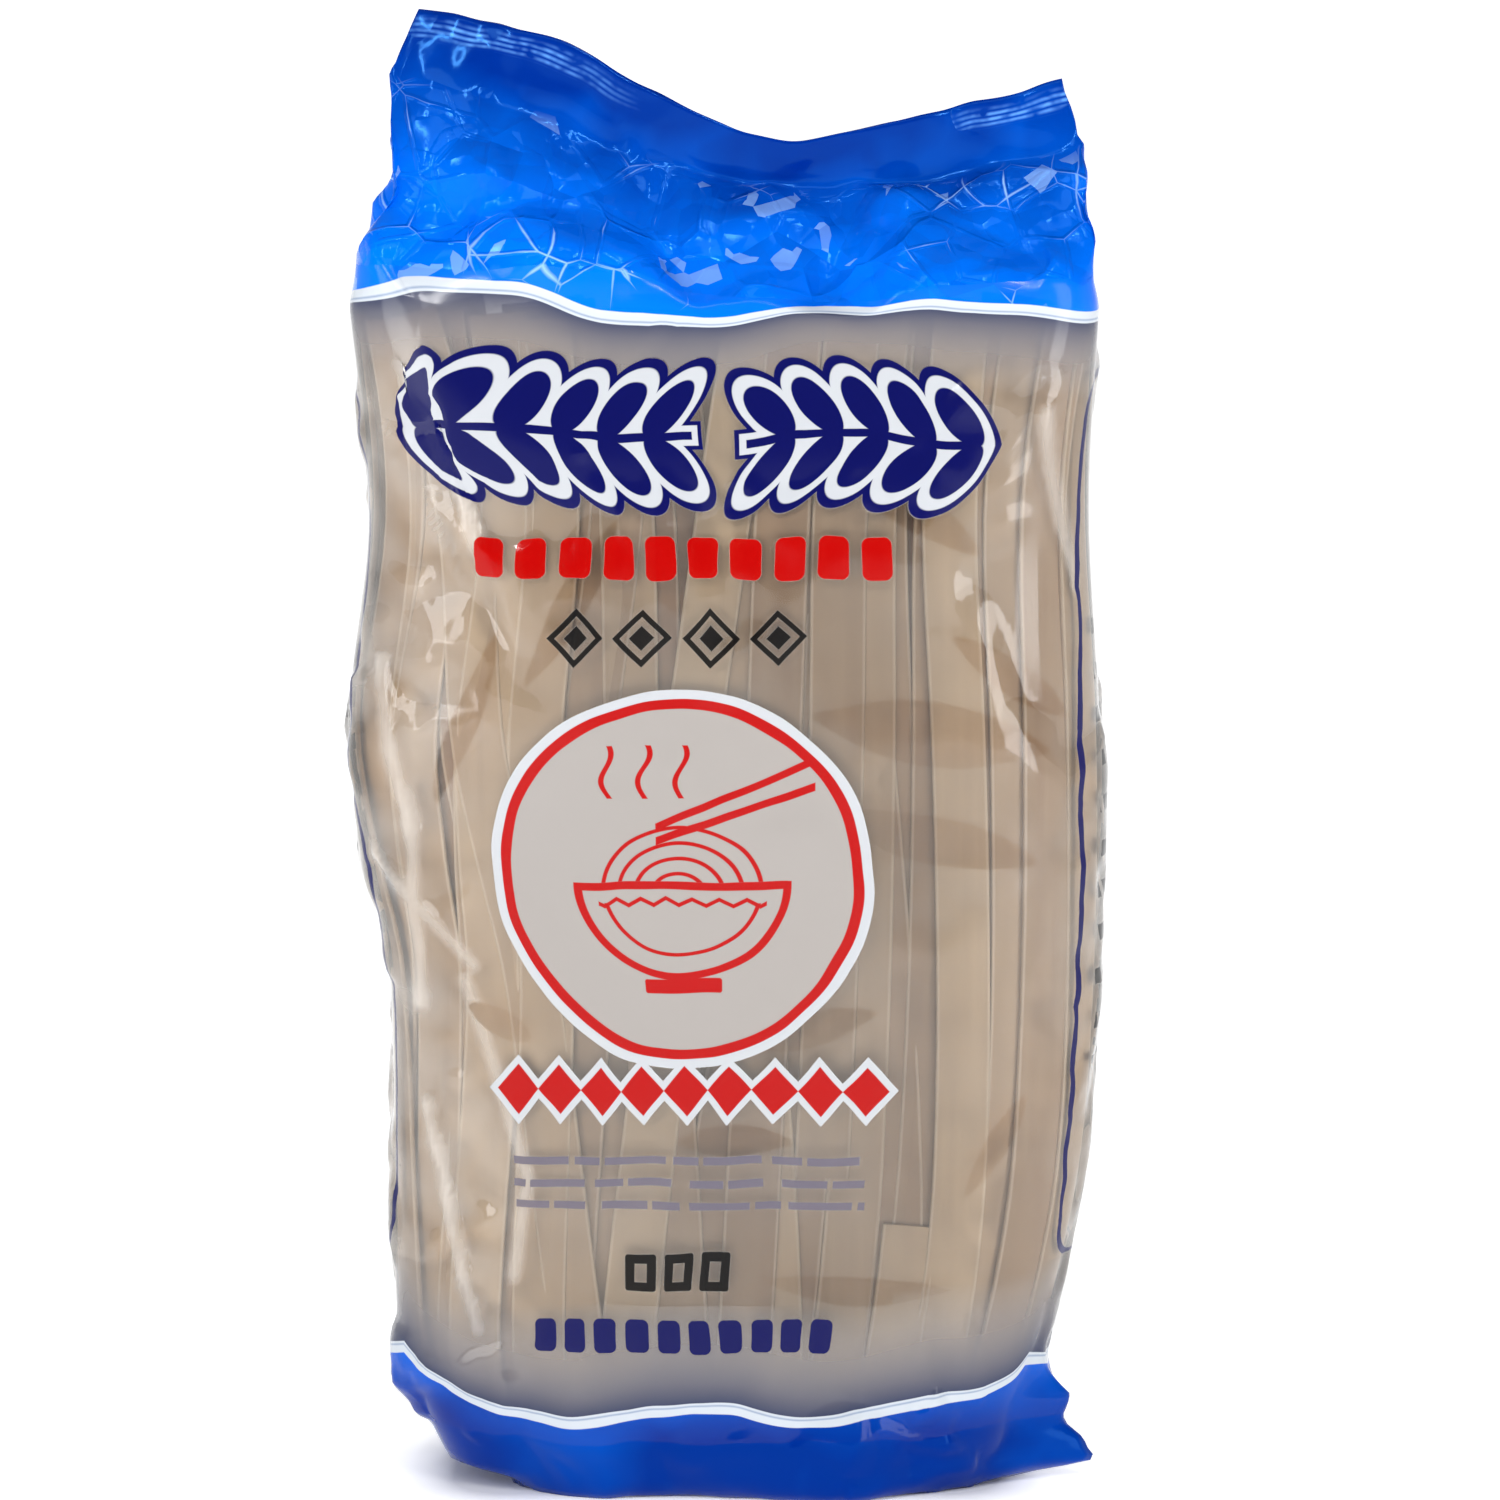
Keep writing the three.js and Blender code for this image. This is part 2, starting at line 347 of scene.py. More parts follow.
def settleFilm(rings, places):
    # lets slack film crumple, with no collisions, because their result differs from run to run:
    # keptNear holds it off the noodles afterwards
    scale = film["solverScale"]
    columns = rings.shape[1]
    sheet = newObject("filmTrial", ringMesh("filmTrial", stirred(rings, places) * scale))
    flapStart = form["shoulder"] + slopeLength
    held = np.where(places < -2, 1.0, 0.0)
    held[places > flapStart] = 0.5
    held[-2:] = 1
    loose = film["bodySlack"] + (1 - film["bodySlack"]) * np.clip((places - 205) / 12, 0, 1)
    loose += 0.4 * np.clip((25 - places) / 25, 0, 1)
    loose[places > flapStart] = 0.4
    vertexGroup(sheet, "held", np.repeat(held, columns))
    vertexGroup(sheet, "loose", np.repeat(np.minimum(loose, 1), columns))
    cloth = sheet.modifiers.new("cloth", "CLOTH")
    feel = cloth.settings
    feel.quality = 6
    feel.mass = 0.15
    feel.tension_stiffness = feel.compression_stiffness = film["stiffness"]
    feel.shear_stiffness = film["stiffness"] / 2
    feel.bending_stiffness = film["bending"]
    feel.bending_damping = 0.5
    feel.air_damping = 2
    feel.vertex_group_mass = "held"
    feel.pin_stiffness = 1
    feel.vertex_group_shrink = "loose"
    feel.shrink_min = 0
    feel.shrink_max = -film["slack"]
    feel.effector_weights.gravity = film["gravity"]
    feel.use_pressure = True
    feel.uniform_pressure_force = film["pressure"]
    cloth.collision_settings.use_collision = False
    cloth.point_cache.frame_start = 1
    cloth.point_cache.frame_end = scene.frame_end = film["frames"] + 1
    for step in range(1, film["frames"] + 1):
        scene.frame_set(step)
    settled = sheet.evaluated_get(bpy.context.evaluated_depsgraph_get())
    places3d = np.empty(rings.size, np.float32)
    settled.to_mesh().vertices.foreach_get("co", places3d)
    settled.to_mesh_clear()
    bpy.data.objects.remove(sheet)
    scene.frame_set(1)
    return places3d.reshape(rings.shape).astype(float) / scale


def refined(grid, closed):
    # twice as many rows, by smooth steps between them
    if closed:
        before, here, after, beyond = (np.roll(grid, shift, 0) for shift in (1, 0, -1, -2))
    else:
        padded = np.concatenate([grid[:1], grid, grid[-1:]])
        before, here, after, beyond = padded[:-3], padded[1:-2], padded[2:-1], padded[3:]
    middle = (9 * (here + after) - before - beyond) / 16
    finer = np.stack([here, middle], 1).reshape(-1, *grid.shape[1:])
    return finer if closed else np.concatenate([finer, grid[-1:]])


def gridNormals(rings):
    across = np.roll(rings, -1, 1) - np.roll(rings, 1, 1)
    along = np.gradient(rings, axis=0)
    normal = np.cross(across, along)
    return normal / np.maximum(np.linalg.norm(normal, axis=2, keepdims=True), 1e-9)


def flatFacets(rings, spacing, draw):
    # flat facets with straight sharp creases: the difference between the squared distances to the
    # nearest of two sets of seeds is a plane wherever the nearest two stay the same
    rows, columns = rings.shape[:2]
    rowStep = film["step"] / 2
    count = max(4, int(girth * rows * rowStep / spacing ** 2))
    reach = int(3.5 * spacing / rowStep)

    def nearest():
        best = np.full((rows, columns), 1e9)
        for row, column in zip(draw.integers(rows, size=count), draw.integers(columns, size=count)):
            near = slice(max(row - reach, 0), row + reach)
            best[near] = np.minimum(best[near], ((rings[near] - rings[row, column]) ** 2).sum(2))
        return best

    return (nearest() - nearest()) / spacing


def fromFront(columns):
    # how far round the film each column is from the front's middle, in mm
    return ((np.arange(columns) / columns - 0.25) % 1 - 0.5) * girth


def ramp(value, start, end):
    # smooth step from 0 at start to 1 at end
    t = np.clip((value - start) / (end - start), 0, 1)
    return t * t * (3 - 2 * t)


def looseness(x, z):
    # where the clear film stands off the noodles and crinkles: down the left-hand side most
    wander = 8 * np.sin(z / 23) + 5 * np.sin(z / 9.5)
    left = ramp(x, -40 + wander, -57 + wander) * ramp(x, -104, -84)
    right = 0.6 * ramp(x, 57 + wander * 0.3, 67) * ramp(x, 112, 92)
    upper = 0.5 * ramp(z, 188, 210)
    back = 0.45 * ramp(abs(x), 112, 124) * ramp(np.sin(x / 17) + np.sin(z / 21 + x / 40), 0.1, 0.9)
    return np.maximum.reduce([left, right, upper, back])


def lineDistance(x, z, line):
    best = np.full(x.shape, 1e9)
    for (startX, startZ), (endX, endZ) in zip(line[:-1], line[1:]):
        dx, dz = endX - startX, endZ - startZ
        t = np.clip(((x - startX) * dx + (z - startZ) * dz) / (dx * dx + dz * dz), 0, 1)
        best = np.minimum(best, np.hypot(x - startX - dx * t, z - startZ - dz * t))
    return best


def longCreases(x, z):
    # 1 along the crest of each long crease, and 0 from its width onwards
    nearest = np.minimum.reduce([lineDistance(x, z, line) for line in film["longCreases"]])
    return np.clip(1 - (nearest / film["creaseWidth"]) ** 2, 0, 1)


def creased(rings, places):
    # real creases: deep and close on the printed top, broad and faint on the filled body
    draw = np.random.default_rng(film["seed"])
    x, z = np.meshgrid(fromFront(rings.shape[1]), places)
    body = ramp(z, 4, 24) * ramp(z, 236, 216)
    shares = {
        "topCreases": ramp(z, 214, 230) * (0.12 + 0.88 * ramp(z, 252, 244)),
        "bodyCreases": body,
        "slackCreases": body * looseness(x, z),
        "footCreases": ramp(z, 26, 14) * (0.1 + 0.9 * (z > 0)),
    }
    bend = longCreases(x, z) * film["creaseHeight"]
    for name, share in shares.items():
        rows = share.max(1) > 0
        for spacing, slope in film[name]:
            bend[rows] += flatFacets(rings[rows], spacing, draw) * slope * share[rows]
    moved = rings + gridNormals(rings) * bend[:, :, None]
    moved[:, :, 2] = np.maximum(moved[:, :, 2], 0)
    return keptNear(moved)


def keptNear(rings, within=0.6, beyond=0.4):
    # holds the film of the filled body close to its outline, so that it doesn't cut into the noodles
    x, y, z = np.moveaxis(rings, 2, 0)
    height = np.clip(z, 0, form["shoulder"])
    power = form["roundPower"] + 3 * (height / form["shoulder"]) ** 8
    wide = np.where(x < 0, valueAlong(form["left"], height), valueAlong(form["right"], height))
    deep = np.where(y < 0, valueAlong(form["front"], height), valueAlong(form["back"], height))

    inside = ramp(z, 234, 215) * ramp(z, 1, 4)
    outside = ramp(z, 224, 200) * ramp(z, 16, 34) * 0.6
    for offset, share, limit in ((-within, inside, np.minimum), (beyond, outside, np.maximum)):
        across = np.abs(x / (wide + offset)) ** power
        through = np.abs(y / (deep + offset)) ** power
        size = np.maximum(across + through, 1e-3)
        across, through = across / size, through / size
        stretch = (1 / limit(np.maximum(size, 0.2) ** (1 / power), 1) - 1) * share
        stretch /= across ** 2 + through ** 2 + 1e-6
        x = x * (1 + stretch * across)
        y = y * (1 + stretch * through)
    return np.stack([x, y, z], 2)


def leafDistance(x, z, leaf):
    # from the lens between two circles, in mm
    middleX, middleZ, halfLength, halfWidth, lean = leaf
    c, s = math.cos(math.radians(lean)), math.sin(math.radians(lean))
    along = (x - middleX) * c + (z - middleZ) * s
    over = (z - middleZ) * c - (x - middleX) * s
    radius = (halfLength ** 2 + halfWidth ** 2) / (2 * halfWidth)
    return np.hypot(along, abs(over) + radius - halfWidth) - radius


def clingDistance(x, z, draw):
    leaves = list(film["clings"])
    for _ in range(film["backClings"]):
        side = draw.choice((-1, 1))
        leaves.append((side * draw.uniform(70, 160), draw.uniform(30, 190), draw.uniform(8, 22),
                       draw.uniform(2.5, 6.5), draw.uniform(-60, 60)))
    bentX = x + 0.8 * np.sin(z / 9.3 + np.sin(x / 11))
    bentZ = z + 0.9 * np.sin(x / 10.1 + np.sin(z / 12))
    return np.minimum.reduce([leafDistance(bentX, bentZ, leaf) for leaf in leaves])


def drawFilmFields(mesh, rings, places):
    # what changes slowly over the film, held at its points
    draw = np.random.default_rng(film["seed"] + 1)
    x, z = np.meshgrid(fromFront(rings.shape[1]), places)
    flat = [noise.noise(Vector(p) * 0.045) for p in rings.reshape(-1, 3)]
    cloud = np.array(flat).reshape(x.shape)
    loose = looseness(x, z)
    facets = flatFacets(rings, 9, draw) / 9
    facing = gridNormals(rings)
    turned = np.linalg.norm(np.roll(facing, -1, 1) - facing, axis=2)
    turned[:-1] += np.linalg.norm(facing[1:] - facing[:-1], axis=2)
    # milkier where the film is loose, and lighter on some facets there as painted reflection; whiter along the long
    # creases and where the film turns sharply, partly painted highlight
    milk = filmLook["milk"] * (1 + 0.9 * cloud) + filmLook["looseMilkAndSheen"] * loose * np.clip(0.6 + 0.7 * facets, 0, 1.4)
    milk += filmLook["creaseMilkAndGlint"] * (longCreases(x, z) + 0.4 * loose * ramp(turned, 0.2, 0.6))
    # painted light and shade on the blue ends: darker towards the seal and the foot, lighter or darker in soft clouds
    # and facet by facet
    cloudAndFacetShade = 0.25 * cloud + 0.2 * np.clip(facets, -1, 1)
    light = ramp(z, 262, 226) * ramp(z, 8, 40) + cloudAndFacetShade * (0.45 + 0.55 * ramp(z, 20, 60))
    fields = {"milk": np.clip(milk, 0.02, 0.8), "cling": clingDistance(x, z, draw), "light": np.clip(light, 0, 1)}
    for name, values in fields.items():
        kept = mesh.attributes.new(name, "FLOAT", "POINT").data
        kept.foreach_set("value", values.astype(np.float32).ravel())


class Field:
    # a number that nodes work out, so that a sum of nodes reads as a plain sum

    def __init__(self, tree, socket):
        self.tree = tree
        self.socket = socket

    def math(self, operation, *values, clamp=False):
        node = self.tree.nodes.new("ShaderNodeMath")
        node.operation = operation
        node.use_clamp = clamp
        for socket, value in zip(node.inputs, values):
            if isinstance(value, Field):
                self.tree.links.new(value.socket, socket)
            else:
                socket.default_value = value
        return Field(self.tree, node.outputs[0])

    def __add__(self, other):
        return self.math("ADD", self, other)

    def __sub__(self, other):
        return self.math("SUBTRACT", self, other)

    def __rsub__(self, other):
        return self.math("SUBTRACT", other, self)

    def __mul__(self, other):
        return self.math("MULTIPLY", self, other)

    def __truediv__(self, other):
        return self.math("DIVIDE", self, other)

    def __pow__(self, other):
        return self.math("POWER", self, other)

    def __abs__(self):
        return self.math("ABSOLUTE", self)

    __radd__ = __add__
    __rmul__ = __mul__

    def lowest(self, other):
        return self.math("MINIMUM", self, other)

    def highest(self, other):
        return self.math("MAXIMUM", self, other)

    def sine(self):
        return self.math("SINE", self)

    def cosine(self):
        return self.math("COSINE", self)

    def root(self):
        return self.math("SQRT", self)

    def floor(self):
        return self.math("FLOOR", self)

    def wrapped(self, low, high):
        return self.math("WRAP", self, high, low)

    def held(self):
        # between 0 and 1
        return self.math("ADD", self, 0.0, clamp=True)


def colour(red, green, blue):
    # from the 0 to 255 of a picture to the light that a shader works in
    shares = [value / 255 for value in (red, green, blue)]
    return tuple(s / 12.92 if s < 0.04 else ((s + 0.055) / 1.055) ** 2.4 for s in shares) + (1.0,)


def newMaterial(name):
    material = bpy.data.materials.new(name)
    material.use_nodes = True
    tree = material.node_tree
    tree.nodes.clear()
    return material, tree


def addNode(tree, kind, inputs=None, **settings):
    node = tree.nodes.new(kind)
    for name, value in settings.items():
        setattr(node, name, value)
    for name, value in (inputs or {}).items():
        if isinstance(value, Field):
            tree.links.new(value.socket, node.inputs[name])
        elif isinstance(value, bpy.types.NodeSocket):
            tree.links.new(value, node.inputs[name])
        else:
            node.inputs[name].default_value = value
    return node


def mixColour(tree, share, first, second):
    node = addNode(tree, "ShaderNodeMix", data_type="RGBA")
    for socket, value in zip((node.inputs[0], node.inputs[6], node.inputs[7]), (share, first, second)):
        if isinstance(value, Field):
            tree.links.new(value.socket, socket)
        elif isinstance(value, bpy.types.NodeSocket):
            tree.links.new(value, socket)
        else:
            socket.default_value = value
    return node.outputs[2]


# where the print lies: [x across the front from its middle, height along the film], in mm
panel = girth / 2            # the front and the back carry the same print
printing = {
    "ears": ((-54.5, 6, 197.5, 1), (4.1, 5, 196, -1)),    # from x, pairs of grains, height, which way they lean
    "redRow": (-7.6, 174.8, 7.8, 10),                 # middle x, height, pitch, count
    "blackRow": (-8.5, 160.6, 12.1, 4),
    "disc": (-8, 117, 34.5, 31.8),                    # x, height, radius, middle of the ring
    "rubyRow": (-7.7, 78.4, 8.3, 9),
    "fineRows": (-8, 61.5, 4.2, 34),                  # middle x, height, pitch, half width
    "sizeRow": (-9.2, 45, 7.4, 3),
    "weightRow": (-8.2, 33, 6.15, 10),
    "sideFrame": (77.5, 125, 13, 81),                 # middle, height, half width, half height
    "topFade": 17,            # how far the thin ink reaches below the blue, in mm
    "footFade": 24,
}
inks = {
    "blue": colour(0, 118, 255),
    # painted shade: the blue's darker copy, used where the blue ends lie in shade
    "shadedBlue": colour(0, 42, 138),
    # painted highlight colour of the seal's crimp
    "paintedSheen": colour(96, 158, 238),
    "navy": colour(10, 14, 84),
    "white": colour(192, 195, 200),
    "disc": colour(165, 159, 155),
    "border": colour(206, 213, 221),
    "red": colour(176, 3, 2),
    "black": colour(12, 11, 12),
    "haze": colour(222, 214, 206),
    "fade": colour(36, 50, 88),
    "hairline": colour(150, 166, 192),
    # painted highlight colour of the crease glints
    "paintedGlint": colour(170, 212, 255),
}


def edgeOf(distance, softness=0.12):
    # 1 inside a shape and 0 outside it, from the distance to its edge in mm
    return (0.5 - distance / softness).held()


def lengthOf(a, b):
    return (a * a + b * b).root()


def boxDistance(x, z, halfWidth, halfHeight, rounding=0.0):
    dx = abs(x) - (halfWidth - rounding)
    dz = abs(z) - (halfHeight - rounding)
    outside = lengthOf(dx.highest(0.0), dz.highest(0.0))
    return outside + dx.highest(dz).lowest(0.0) - rounding


def earDistance(x, z, ear):
    # an ear of rice lying down: grains in pairs along a gently waved stalk
    start, count, height, lean = ear
    pitch, length, width = 8.2, 6.5, 2.6
    c, s = math.cos(math.radians(50)), math.sin(math.radians(50))
    span = pitch * count
    rise = z - height - ((x - start) * 0.115).sine() * 1.4
    nearest = (abs(rise) - 0.75).highest(abs(x - (start + span / 2)) - span / 2)
    side = abs(rise) - 4.9
    number = ((x - start) / pitch).floor()
    for shift in (-1, 0, 1):
        whole = (number + shift).highest(0.0).lowest(count - 1.0)
        cell = x - (start + pitch / 2) - whole * pitch
        along = cell * (c * lean) + side * s
        over = side * c - cell * (s * lean)
        nearest = nearest.lowest((lengthOf(along / length, over / width) - 1) * width)
    return nearest


def rowCell(x, middle, pitch, count):
    # x inside one of a row's repeated cells, and how far outside the row it is
    shift = pitch / 2 if count % 2 else 0
    cell = (x - middle + shift).wrapped(0.0, pitch) - pitch / 2
    return cell, abs(x - middle) - pitch * count / 2


def emblem(x, z):
    # a steaming bowl with chopsticks, in red line
    middleX, middleZ, radius, ring = printing["disc"]
    dx, dz = x - middleX, z - middleZ
    away = lengthOf(dx, dz)
    line = 0.75
    bowlDepth = dz + 1
    bowl = (lengthOf(dx, bowlDepth * 1.15) - 19).highest(bowlDepth)
    shapes = abs(bowl) - line
    band = abs(lengthOf(dx, bowlDepth * 1.15) - 14.5) - 0.4
    shapes = shapes.lowest(band.highest(bowlDepth + 3))
    shapes = shapes.lowest(boxDistance(dx, dz + 19.2, 7.5, 1.3, 0.5))
    scallop = abs((dx + 2.4).wrapped(0.0, 4.8) - 2.4)
    shapes = shapes.lowest((abs(bowlDepth + 3.6 - scallop * 0.5) - 0.4).highest(abs(dx) - 15.5))
    heap = (lengthOf(dx * 0.86, dz + 3) - 14).highest(-1 * dz)
    strands = abs((lengthOf(dx * 0.86, dz + 3) - 14).wrapped(0.0, 2.8) - 1.4) - 0.35
    shapes = shapes.lowest(strands.highest(heap - 0.3))
    for slope, shift in ((0.34, 3.6), (0.42, 6.4)):
        stick = abs(dz - 5 - dx * slope - shift) - 0.75
        shapes = shapes.lowest(stick.highest(abs(dx - 10) - 14))
    sway = (dz * 0.62).sine() * 1.1
    drift = dx + 6 - sway
    steam = abs((drift + 3.25).wrapped(0.0, 6.5) - 3.25) - 0.5
    steam = steam.highest(abs(dz - 19.5) - 4.6).highest(abs(drift) - 9.7)
    shapes = shapes.lowest(steam)
    return edgeOf(away - radius), edgeOf(away - ring), edgeOf((abs(away - ring) - 0.95).lowest(shapes))


# what is printed, as pairs of its shape's cover and its ink, in the order that they are laid on

def titlePrint(x, z):
    ears = [earDistance(x, z, ear) for ear in printing["ears"]]
    title = ears[0].lowest(ears[1])
    return [(edgeOf(title - 1.9), "navy"), (edgeOf(title - 1.1), "white"), (edgeOf(title), "navy")]


def upperRows(x, z):
    middle, height, pitch, count = printing["redRow"]
    cell, outside = rowCell(x, middle, pitch, count)
    red = edgeOf(boxDistance(cell, z - height, 2.8, 3.8, 1.5).highest(outside))
    middle, height, pitch, count = printing["blackRow"]
    cell, outside = rowCell(x, middle, pitch, count)
    diamond = abs(cell) + abs(z - height)
    black = edgeOf((abs(diamond - 4.5) - 0.7).lowest(diamond - 2.2).highest(outside))
    return [(red, "red"), (black, "black")]


def emblemPrint(x, z):
    rim, disc, line = emblem(x, z)
    middle, height, pitch, count = printing["rubyRow"]
    shift = pitch * (count - 1) / 2
    whole = ((x - middle + shift) / pitch + 0.5).floor().highest(0.0).lowest(count - 1.0)
    cell = x - (middle - shift) - whole * pitch
    ruby = (abs(cell) * 1.1 + abs(z - height)) * 0.74 - 3.4
    ground = rim.highest(edgeOf(ruby - 1.3))
    return [(ground, "white"), (disc, "disc"), (line.highest(edgeOf(ruby)), "red")]


def lowerRows(x, z):
    middle, height, pitch, half = printing["fineRows"]
    stepped = (z - height) / pitch + 0.5
    row = stepped.floor()
    line = abs(stepped - row - 0.5) * pitch - 0.75
    dash = abs((x + row * 3.7 + (x * 0.31 + row * 2).sine() * 2.2).wrapped(0.0, 9.5) - 4.75) - 4.0
    within = (abs(z - height) - pitch * 1.5).highest(abs(x - middle) - half)
    fine = edgeOf(line.highest(dash).highest(within)) * 0.8
    middle, height, pitch, count = printing["sizeRow"]
    cell, outside = rowCell(x, middle, pitch, count)
    square = abs(boxDistance(cell, z - height, 2.9, 3.6, 0.6) + 0.9) - 0.9
    return [(fine, "navy"), (edgeOf(square.highest(outside)), "black")]


def weightPrint(x, z):
    middle, height, pitch, count = printing["weightRow"]
    cell, outside = rowCell(x, middle, pitch, count)
    return [(edgeOf(boxDistance(cell, z - height, 2.2, 3.1, 1.2).highest(outside)), "navy")]


def sidePrint(x, z):
    middle, height, halfWidth, halfHeight = printing["sideFrame"]
    side = (x - middle).wrapped(-panel / 2, panel / 2)
    frame = edgeOf(abs(boxDistance(side, z - height, halfWidth, halfHeight, 9)) - 0.65)
    marks = abs((z - 60).wrapped(0.0, 8.0) - 4) - 1.5
    marks = marks.highest(abs((side * 0.9 + z * 0.4).wrapped(0.0, 5.0) - 2.5) - 1.8)
    marks = marks.highest(abs(side) - 7.5).highest(abs(z - 122) - 42)
    return [(frame, "navy"), (edgeOf(marks), "black")]


# each stretch of film has only the print that lies on it: from x to x on the front and the back,
# from height to height, its print, and which of the blue ends borders on it; the first that fits
zones = {
    "blue seal": ((-90, 90), (225, 280), None, None),
    "blue foot": ((-90, 90), (-20, 13), None, None),
    "upper border": ((-90, 90), (213.5, 225), None, "top"),
    "title": ((-60, 52), (181, 213.5), titlePrint, "top"),
    "emblem": ((-47, 32), (71, 153), emblemPrint, None),
    "upper rows": ((-48, 33), (153, 181), upperRows, None),
    "lower rows": ((-48, 33), (39, 71), lowerRows, None),
    "weight row": ((-42, 26), (13, 39), weightPrint, "foot"),
    "lower border": ((-90, 90), (13, 44), None, "foot"),
    "left side": ((-90, -60), (44, 213.5), sidePrint, "top"),
    "right side": ((60, 90), (44, 213.5), sidePrint, "top"),
    "upper film": ((-90, 90), (197, 213.5), None, "top"),
    "clear film": ((-90, 90), (-20, 280), None, None),
}


def zoneOfFaces(mesh):
    # each face's zone, by its middle's place on the film
    loops = np.empty(len(mesh.loops) * 2, np.float32)
    mesh.uv_layers["filmMap"].data.foreach_get("uv", loops)
    starts = np.empty(len(mesh.polygons), int)
    mesh.polygons.foreach_get("loop_start", starts)
    u, v = (loops.reshape(-1, 2)[starts] + loops.reshape(-1, 2)[starts + 2]).T / 2
    x = ((u - 0.75) * girth + panel * 2.5) % panel - panel / 2
    z = v * filmLength - footLength
    found = np.full(len(x), len(zones) - 1)
    for number, ((left, right), (low, high), _, _) in reversed(list(enumerate(zones.values()))):
        found[(x > left) & (x < right) & (z > low) & (z < high)] = number
    return found


filmLook = {
    "milk": 0.075,            # how much of the view the clear film's milkiness takes
    "looseMilkAndSheen": 0.28,        # and more where it is loose, part of it painted reflection on its facets
    # whiter along the long creases and sharp turns, partly painted highlight
    "creaseMilkAndGlint": 0.3,
    "clingMilk": 0.03,        # where it clings to a noodle, which looks darker through it
    # painted shade: a tint that darkens what is seen through clinging film
    "clingShadeTint": (0.88, 0.835, 0.79, 1.0),
    "fadeCover": 0.95,
    "inkCover": 0.97,
    "gloss": 0.07,            # roughness
}


def held(tree, name):
    # what drawFilmFields has kept at the film's points
    return Field(tree, addNode(tree, "ShaderNodeAttribute", attribute_name=name).outputs["Fac"])


def filmPlace(tree):
    # x across the front or the back, and the height along the film, in mm
    at = addNode(tree, "ShaderNodeSeparateXYZ", {0: addNode(tree, "ShaderNodeUVMap", uv_map="filmMap").outputs[0]})
    x = ((Field(tree, at.outputs[0]) - 0.75) * girth).wrapped(-panel / 2, panel / 2)
    return x, Field(tree, at.outputs[1]) * filmLength - footLength


def blueDistance(x, z, end):
    # how far outside the blue, whose edges are wavy
    turn = 2 * math.pi / panel
    if end == "top":
        return ((x + 51) * (2 * turn) + ((x + 11) * turn).sine() * 0.7).cosine() * 2.8 + 219.7 - z
    outer = ((abs(x) - 50) / 16).held()
    return z - 18.3 - ((x + 6) * (3 * turn)).cosine() * 1.7 - outer * outer * 8


def clearMaterial(name, printed, end):
    material, tree = newMaterial(name)
    cling = edgeOf(held(tree, "cling"), 0.6)
    cover = held(tree, "milk") * (1 - cling) + cling * filmLook["clingMilk"]
    paint, layers = inks["haze"], []
    if printed or end:
        x, z = filmPlace(tree)
    if end:
        beyond = blueDistance(x, z, end)
        fade = (1 - beyond / printing[end + "Fade"]).held()
        cover = cover.highest(fade * filmLook["fadeCover"])
        paint = mixColour(tree, fade, paint, inks["fade"])
        blue = creasedBlue(tree, z)[0] if name == "upper border" else bluePaint(tree)
        paint = mixColour(tree, edgeOf(beyond), paint, blue)
        layers = [(edgeOf(abs(beyond) - 1.1), "border"), (edgeOf(abs(beyond - 0.5) - 0.16, 0.3), "hairline")]
        cover = cover.highest(edgeOf(beyond) * filmLook["inkCover"])
    if printed:
        layers += printed(x, z)
    for shape, ink in layers:
        paint = mixColour(tree, shape, paint, inks[ink])
        cover = cover.highest(shape * filmLook["inkCover"])

    # painted shade: where the film clings, its tint darkens what is seen through it
    tint = mixColour(tree, cling, (0.97, 0.97, 0.97, 1), filmLook["clingShadeTint"])
    clear = addNode(tree, "ShaderNodeBsdfTransparent", {"Color": tint})
    shine = addNode(tree, "ShaderNodeBsdfGlossy", {"Color": (1, 1, 1, 1), "Roughness": filmLook["gloss"]})
    glance = addNode(tree, "ShaderNodeFresnel", {"IOR": 1.6})
    bare = addNode(tree, "ShaderNodeMixShader", {0: glance.outputs[0], 1: clear.outputs[0], 2: shine.outputs[0]})
    if layers:
        solid = addNode(tree, "ShaderNodeBsdfPrincipled", {
            "Base Color": paint, "Roughness": 0.13, "IOR": 1.42, "Specular IOR Level": 0.2,
        })
    else:
        solid = addNode(tree, "ShaderNodeBsdfDiffuse", {"Color": paint})
    whole = addNode(tree, "ShaderNodeMixShader", {0: cover, 1: bare.outputs[0], 2: solid.outputs[0]})
    addNode(tree, "ShaderNodeOutputMaterial", {0: whole.outputs[0]})
    return material


def bluePaint(tree):
    # painted light and shade: mixes the blue with its shaded copy by the held light field
    return mixColour(tree, held(tree, "light"), inks["shadedBlue"], inks["blue"])


def creasedBlue(tree, z):
    # painted shade on some facets, and painted highlights along the creases
    height, paintedGlints, paintedShades = fineCreases(tree, z)
    paint = mixColour(tree, paintedShades, bluePaint(tree), inks["shadedBlue"])
    return mixColour(tree, paintedGlints, paint, inks["paintedGlint"]), height


